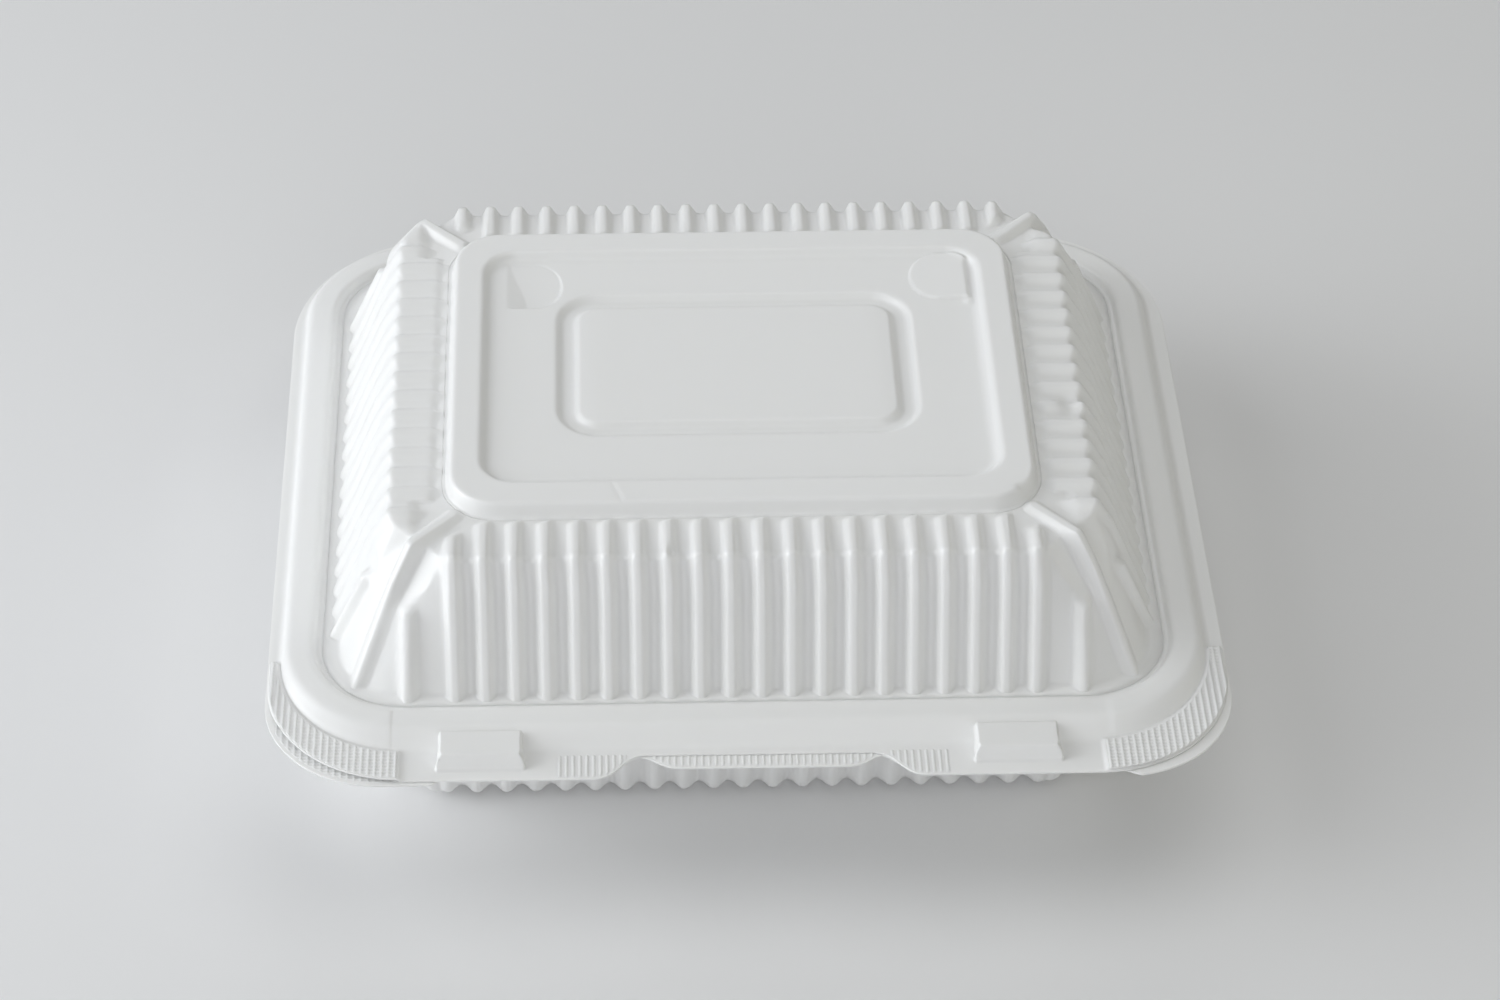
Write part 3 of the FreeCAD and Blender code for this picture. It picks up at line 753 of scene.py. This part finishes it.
# 1 inside the finger pads at the front corners, 0 outside them
def padShare(rows):
    x, y = rows[..., 0], rows[..., 1]
    away = np.abs(x - rim["shift"])
    edge = edgeDistance(x, y, rim["flange"], rim["shift"])
    bead = beadFront(x, 0.0) - y
    return (smooth((edge - pad["margin"]) / pad["edgeRamp"])
            * smooth((away - pad["inner"]) / pad["endRamp"] + 0.5)
            * smooth((-y - pad["back"]) / pad["ramp"] + 0.5) * smooth(bead / pad["edgeRamp"]))


knurl = {
    "pitch": 1.64,
    "power": 2.5,  # narrows the ridges
    "height": 0.3,
    "crossPitch": 1.12,
    "crossDepth": 0.15,
    "crossFade": 0.6,  # how much weaker the cross ridges are on top of the long ones
    "ramps": (0.5, 0.4),  # along the two lines, and at the two ends
    "rampStart": 0.15,
    "backRamp": (9.0, 0.2),
    "narrowest": 0.2,
    "columnStep": 0.235,
    "rowStep": 0.36,
    "thickness": 0.3,
    "sunk": 0.05,  # a plate's ground lies this far under the skin
}


# Fine ridges that run front to back on a thin plate between two lines: ridge height is a
# raised cosine of x to a power, plus a raised cosine of y that is weaker on the ridges
def knurlPlate(name, fromX, toX, near, far, z, height=knurl["height"], cross=knurl["crossDepth"]):
    x = np.linspace(fromX, toX, int(round((toX - fromX) / knurl["columnStep"])) + 1)
    low, high = near(x), far(x)
    high = np.maximum(high, low + knurl["narrowest"])
    count = int(np.max(high - low) / knurl["rowStep"]) + 4
    share = np.linspace(0, 1, count)[:, None]
    y = low[None] + (high - low)[None] * share
    x = np.broadcast_to(x[None], y.shape)
    ridge = (0.5 + 0.5 * np.cos(2 * math.pi * x / knurl["pitch"])) ** knurl["power"]
    notches = 0.5 + 0.5 * np.cos(2 * math.pi * y / knurl["crossPitch"])
    notches = notches * (1 - knurl["crossFade"] * ridge)
    lineRamp, endRamp = knurl["ramps"]
    ends = np.minimum(smooth(np.minimum(y - low, high - y) / lineRamp + knurl["rampStart"]),
                      smooth(np.minimum(x - fromX, toX - x) / endRamp + knurl["rampStart"]))
    backRamp, backStart = knurl["backRamp"]
    fade = smooth((-y - pad["back"]) / backRamp + backStart)
    rise = (height * ridge + cross * notches) * ends * fade
    sink = pad["height"] * (1 - smooth((-y - pad["back"]) / pad["ramp"] + 0.5))
    return shellMesh(name, np.stack([x, y, z + rise - sink], -1), knurl["thickness"], closed=False)


# Tray: ribbed wall, heel and foot

tray = {
    "flangeZ": 42.4,
    "heel": (9.2, 4.0),  # how far in from the mouth, and level
    "foot": 12.7,
    "ribDepth": 2.2,
    "crestHalf": 0.7,
    "flank": 2.7,
    "ribs": (21, 17),  # on the front and back, and on the sides
    "cornerRibs": (0.0, 9.6),  # how far to each side of the diagonal
    "ribFoot": (0.1, 2.2),  # level where the ribs start, and over what height they rise
    "ribTop": (0.2, 0.8),  # the same below the flange
    "centre": (24.0, 10.0, 8.0),
    "fillets": ((0, 0), (0.8, 3), (1.2, 3), (0.9, 3), (0, 0)),
    "setBack": 1.0,  # the tray's front edge lies this far behind the lid's
    "cornerStart": (76.0, 88.0),  # where it comes forward again: the right corner is shorter
    "cornerOver": 4.0,
}
# The tray's columns, placed in the same way
trayOffsets = (-3.75, -2.7, -2.1, -1.5, -1.1, -0.4, 0.4, 1.1, 1.5, 2.1, 2.7)
trayCorner = (11.6, 10.4, 9.2, 8.0, 6.8, 5.6, 4.4, 3.4, 2.6, 2.0, 1.4, 0.8, 0.4)
trayColumns = loopColumns(
    ribColumns(tray["ribs"][0], dome["ribPitch"], trayOffsets, domeX,
               (17.6, 16.4, 15.2, 14.0, 12.8, *trayCorner)),
    ribColumns(tray["ribs"][1], dome["ribPitch"], trayOffsets, domeY,
               (15.6, 14.6, 13.6, 12.6, *trayCorner)),
    domeX, domeY, straightX=78.7, straightY=63.7)


# Rows from the foot up the wall, along a line of (inward, z) points
def trayRows(line, below):
    half, depth, radius = tray["centre"]
    curves = [loop(trayColumns, half, depth, depth, radius, 0.0)]
    for inward, z in line:
        curves.append(loop(trayColumns, mouth[0] - inward, mouth[1] - inward, mouth[1] - inward,
                           mouth[2] - below, z))
    seamX, seamY, seamR = rim["seam"]
    curves.append(loop(trayColumns, seamX, seamY, seamY, seamR, line[-1][1]))
    return filletRows(curves, tray["fillets"],
                      [(0.25, 0.5, 0.75, 0.9), (0.2, 0.4, 0.7), evenly(10), ()])


# Wall and foot: valley + height share * (crest - valley), a blend of two smooth skins
def traySkin():
    top = tray["flangeZ"] - rim["thickness"]
    crestLine = [(tray["foot"], 0.0), tray["heel"], (0.0, top)]
    valleyLine = insetLine(crestLine, tray["ribDepth"])
    for here, other, z in ((0, 1, 0.0), (2, 1, top)):
        share = (z - valleyLine[here][1]) / (valleyLine[other][1] - valleyLine[here][1])
        valleyLine[here] += share * (valleyLine[other] - valleyLine[here])
    crest = trayRows(crestLine, 0.0)
    valley = trayRows([tuple(point) for point in valleyLine], tray["ribDepth"])
    middle = (crest + valley) / 2
    x, y, z = middle[..., 0], middle[..., 1], middle[..., 2]
    frontBack = isFrontOrBack(trayColumns)[None]
    awayX = nearestRib(x, dome["ribPitch"], tray["ribs"][0])[0]
    awayY = nearestRib(y, dome["ribPitch"], tray["ribs"][1])[0]
    away = np.abs(np.where(frontBack, awayX, awayY))
    sideways = np.abs((np.abs(x) - domeX) - (np.abs(y) - domeY)) * diagonalShare
    for place in tray["cornerRibs"]:
        away = np.minimum(away, np.abs(sideways - place))
    height = ribProfile(away, tray["crestHalf"], tray["flank"])
    (footFrom, footOver), (topFrom, topOver) = tray["ribFoot"], tray["ribTop"]
    height *= smooth((z - footFrom) / footOver) * smooth((top - topFrom - z) / topOver)
    return valley + height[..., None] * (crest - valley)


# Hinge: the fold of the sheet behind the two flanges

fold = {"half": 70.0, "inner": 101.4, "centre": 102.45, "thickness": 0.25}
foldSteps = {"flat": 5, "turn": 18, "along": 40}


# Thin strip in the shape of a C: straight from the lid's edge, half round, and straight back
# to the tray's edge
def foldSkin():
    top = rim["flangeZ"] - rim["thickness"] / 2 + fold["thickness"] / 2
    bottom = tray["flangeZ"] - rim["thickness"] / 2 - fold["thickness"] / 2
    middle, radius = (top + bottom) / 2, (top - bottom) / 2
    flat = foldSteps["flat"]
    turn = np.linspace(-math.pi / 2, math.pi / 2, foldSteps["turn"] + 1)
    y = np.concatenate([np.linspace(fold["inner"], fold["centre"], flat + 1)[:-1],
                        fold["centre"] + radius * np.cos(turn),
                        np.linspace(fold["centre"], fold["inner"], flat + 1)[1:]])
    z = np.concatenate([np.full(flat, bottom), middle + radius * np.sin(turn), np.full(flat, top)])
    x = np.linspace(fold["half"], -fold["half"], foldSteps["along"] + 1)
    shape = (len(y), len(x))
    return np.stack([np.broadcast_to(x[None], shape), np.broadcast_to(y[:, None], shape),
                     np.broadcast_to(z[:, None], shape)], -1)


# Build the skins

uncut = 200.0  # past every trimmed edge


# The lid's front edge: an S from the notch out to the flange's edge on each side
def lidEdge(x):
    distance = np.abs(x - notch["mid"])
    line = sEdge(distance, notch["inner"], notch["outer"], notch["edge"], rim["flange"][1])
    return np.where(distance < notch["outer"], line, uncut)


# The tray's front edge, by S curves: the tongue in the middle, then the notch, then the
# stretch that lies behind the lid's edge, then the corners
def trayEdge(x):
    distance, fromTongue = np.abs(x - notch["mid"]), np.abs(x - tongue["mid"])
    back = rim["flange"][1] - tray["setBack"]
    line = sEdge(fromTongue, tongue["inner"], tongue["outer"], tongue["edge"], notch["edge"])
    line = np.maximum(line, sEdge(distance, notch["inner"], notch["outer"], notch["edge"], back))
    start, over = np.where(x > 0, *tray["cornerStart"][::-1]), tray["cornerOver"]
    outer = sEdge(distance - start, 0.0, over, back, rim["trayEdge"][1])
    outer = np.where(distance < start + over, outer, uncut)
    return np.where(distance < notch["outer"], line, outer)


lidDome = shellMesh("lidDome", domeSkin(), rim["thickness"])
lidPanel = shellMesh("lidPanel", panelSkin(), rim["thickness"], capLast=True)
lidRows = rimSkin(0.0, rim["flangeZ"], rim["channelZ"], rim["flange"], lidEdge)
lidRows[..., 2] += pad["height"] * padShare(lidRows)
lidRim = shellMesh("lidRim", lidRows, rim["thickness"])
trayRimRows = rimSkin(rim["nest"], tray["flangeZ"], tray["flangeZ"], rim["trayEdge"], trayEdge)
trayRim = shellMesh("trayRim", trayRimRows, rim["thickness"])
trayBody = shellMesh("trayBody", traySkin(), rim["thickness"], capFirst=True)
print("lid and tray skins built")


# Knurled grips on the pads, beside the notch, on the tongue and on the tray's corner

grips = {
    "margin": 0.5,  # from the trimmed edge
    "left": (-46.8, -29.6),
    "right": (33.0, 48.4),
    "back": -103.6,
    "height": 0.26,
    "cross": 0.05,
    "padTip": 0.6,
    "padEnd": 0.7,
    "padMargin": 0.15,
    "padGap": 0.5,  # from the bead's foot
    "padBack": (-69.5, -65.0),  # left and right
    "tongueEnd": 3.0,
    "tongueBack": 1.2,
    "tongueHeight": 0.24,
    "cornerEnd": 3.0,
    "cornerLines": (0.9, 1.6),  # inside the tray's edge, and inside the lid's
    "cornerHeight": 0.22,
}


# The pads' outer line, a margin inside the trimmed edge
def padNear(x):
    return trimFront(x, rim["flange"], pad["margin"] + grips["padMargin"])


# The pads' inner line, a gap outside the bead
def padFar(x):
    return np.minimum(beadFront(x, grips["padGap"]), np.where(x < 0, *grips["padBack"]))


# The line a margin inside the lid's notch
def notchLine(x):
    tilt = trimTilt["slope"] * (trimTilt["trueAt"] - x)
    return tilt + grips["margin"] - lidEdge(x).clip(0, rim["flange"][1])


# The line a margin inside the tray's tongue
def tongueLine(x):
    return grips["margin"] - trayEdge(x) + trimTilt["slope"] * (trimTilt["trueAt"] - x)


# A straight line across at one depth
def straightLine(y):
    return lambda x: 0 * x + y


shift = rim["shift"]
padZ = rim["flangeZ"] + pad["height"] - knurl["sunk"]
lidZ, trayZ = rim["flangeZ"] - knurl["sunk"], tray["flangeZ"] - knurl["sunk"]
padFrom, padTo = pad["inner"] + grips["padEnd"], rim["flange"][0] - grips["padTip"]
tongueReach = tongue["outer"] - grips["tongueEnd"]
outerLine, innerLine = grips["cornerLines"]
lidKnurls = [
    knurlPlate("padLeft", shift - padTo, shift - padFrom, padNear, padFar, padZ),
    knurlPlate("padRight", shift + padFrom, shift + padTo, padNear, padFar, padZ),
]
for gripName, span in (("gripLeft", grips["left"]), ("gripRight", grips["right"])):
    lidKnurls.append(knurlPlate(gripName, *span, notchLine, straightLine(grips["back"]), lidZ,
                                grips["height"], grips["cross"]))
trayKnurls = [
    knurlPlate("tongueGrip", tongue["mid"] - tongueReach, tongue["mid"] + tongueReach, tongueLine,
               straightLine(grips["tongueBack"] - notch["edge"]), trayZ, grips["tongueHeight"],
               grips["cross"]),
    knurlPlate("cornerGrip", shift - rim["trayEdge"][0] + grips["cornerEnd"],
               shift - pad["inner"] + grips["cornerEnd"],
               lambda x: trimFront(x, rim["trayEdge"], outerLine),
               lambda x: trimFront(x, rim["flange"], innerLine), trayZ, grips["cornerHeight"]),
]
hingeFold = shellMesh("hingeFold", foldSkin(), fold["thickness"], closed=False)
print("knurled grips and hinge fold built")


# Finish

sheet = {
    "color": (0.90, 0.90, 0.89, 1),
    "roughness": 0.32,
    "ior": 1.49,
    "glow": 0.25,  # share of the light that passes through the sheet
    "glowTint": (1.0, 0.97, 0.9),
    "glowDepth": 0.0012,  # metres
    "grainScale": 260.0,
    "grainDetail": 3.0,
    "grainStrength": 0.05,
    "grainDepth": 0.0004,
}


# Glossy white sheet with a little light passing through it, and a faint grain
def formedSheetMaterial():
    material = bpy.data.materials.new("formedSheet")
    material.use_nodes = True
    nodes, links = material.node_tree.nodes, material.node_tree.links
    shader = nodes["Principled BSDF"]
    for socket, value in (("Base Color", "color"), ("Roughness", "roughness"), ("IOR", "ior"),
                          ("Subsurface Weight", "glow"), ("Subsurface Radius", "glowTint"),
                          ("Subsurface Scale", "glowDepth")):
        shader.inputs[socket].default_value = sheet[value]
    place = nodes.new("ShaderNodeTexCoord")
    grain = nodes.new("ShaderNodeTexNoise")
    grain.inputs["Scale"].default_value = sheet["grainScale"]
    grain.inputs["Detail"].default_value = sheet["grainDetail"]
    bump = nodes.new("ShaderNodeBump")
    bump.inputs["Strength"].default_value = sheet["grainStrength"]
    bump.inputs["Distance"].default_value = sheet["grainDepth"]
    links.new(place.outputs["Object"], grain.inputs["Vector"])
    links.new(grain.outputs["Fac"], bump.inputs["Height"])
    links.new(bump.outputs["Normal"], shader.inputs["Normal"])
    return material


sheetMaterial = formedSheetMaterial()
lidPieces, trayPieces = [lidDome, lidPanel, lidRim, *lidKnurls], [trayRim, trayBody, *trayKnurls]
for pieces, body in ((lidPieces, "lid"), (trayPieces, "base")):
    for piece in pieces:
        piece.data.materials.append(sheetMaterial)
        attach(piece, body)
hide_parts("lid")
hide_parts("base_tray")
hingeFold.data.materials.append(sheetMaterial)
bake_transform(hingeFold)
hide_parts("living_hinge")
print("finish applied")


# Stage, lights and camera

stage = {
    "floorSize": 6.0,
    "floorColor": (0.83, 0.83, 0.835),
    "floorRoughness": 0.9,
    "floorGloss": 0.1,
    "worldColor": (0.02, 0.02, 0.02),
    "aim": (0, 0, 0.04),  # the lamps point here
}
lamps = {  # place in metres, size, power, colour
    "keyLight": ((-1.2, -0.1, 0.7), 1.7, 10.8, (0.95, 0.975, 1.0)),
    "keyLow": ((-1.3, -0.1, 0.45), 1.0, 7.8, (0.955, 0.98, 1.0)),
    "frontFill": ((0.1, -1.5, 0.6), 1.5, 8.0, (0.97, 0.98, 0.99)),
    "rightFill": ((1.4, 0.0, 0.6), 1.6, 3.8, (1.0, 0.985, 0.84)),
    "topFill": ((0.15, 0.0, 0.9), 0.8, 1.9, (0.98, 0.99, 0.98)),
    "backFill": ((0.0, 1.5, 0.9), 1.5, 5.7, (0.965, 0.98, 1.0)),
}


# Plain pale floor
def addFloor():
    corners = np.array([[-1, -1, 0], [1, -1, 0], [1, 1, 0], [-1, 1, 0]], float)
    points = corners * stage["floorSize"] / millimetre / 2
    floor = addMesh("floor", points, [np.array([[0, 1, 2, 3]])], [False])
    material = bpy.data.materials.new("floorPaint")
    material.use_nodes = True
    shader = material.node_tree.nodes["Principled BSDF"]
    shader.inputs["Base Color"].default_value = (*stage["floorColor"], 1)
    shader.inputs["Roughness"].default_value = stage["floorRoughness"]
    shader.inputs["Specular IOR Level"].default_value = stage["floorGloss"]
    floor.data.materials.append(material)


# Round area lamp turned towards the object
def addAreaLight(name, place, size, power, color):
    light = bpy.data.lights.new(name, "AREA")
    light.shape, light.size, light.energy, light.color = "DISK", size, power, color
    lamp = bpy.data.objects.new(name, light)
    lamp.location = place
    towards = Vector(stage["aim"]) - Vector(place)
    lamp.rotation_euler = towards.to_track_quat("-Z", "Y").to_euler()
    bpy.context.scene.collection.objects.link(lamp)


# Faint even light from all round
def addWorld():
    world = bpy.data.worlds.new("softRoom")
    bpy.context.scene.world = world
    world.use_nodes = True
    world.node_tree.nodes["Background"].inputs["Color"].default_value = (*stage["worldColor"], 1)


view = {
    "place": (-33.345, -775.385, 712.83),
    "turn": (48.7961, -0.7148, -2.1342),  # degrees about x, y and z
    "lens": 94.08,
    "sensor": 36.0,
}


# Camera where the photograph was taken from
def addCamera():
    camera = bpy.data.cameras.new("camera")
    camera.lens, camera.sensor_width = view["lens"], view["sensor"]
    viewer = bpy.data.objects.new("camera", camera)
    viewer.location = Vector(view["place"]) * millimetre
    viewer.rotation_euler = [math.radians(angle) for angle in view["turn"]]
    bpy.context.scene.collection.objects.link(viewer)
    bpy.context.scene.camera = viewer


addFloor()
addWorld()
for lampName, lampSettings in lamps.items():
    addAreaLight(lampName, *lampSettings)
addCamera()
bpy.context.scene.view_settings.view_transform = "Standard"
print("stage, lights and camera set")
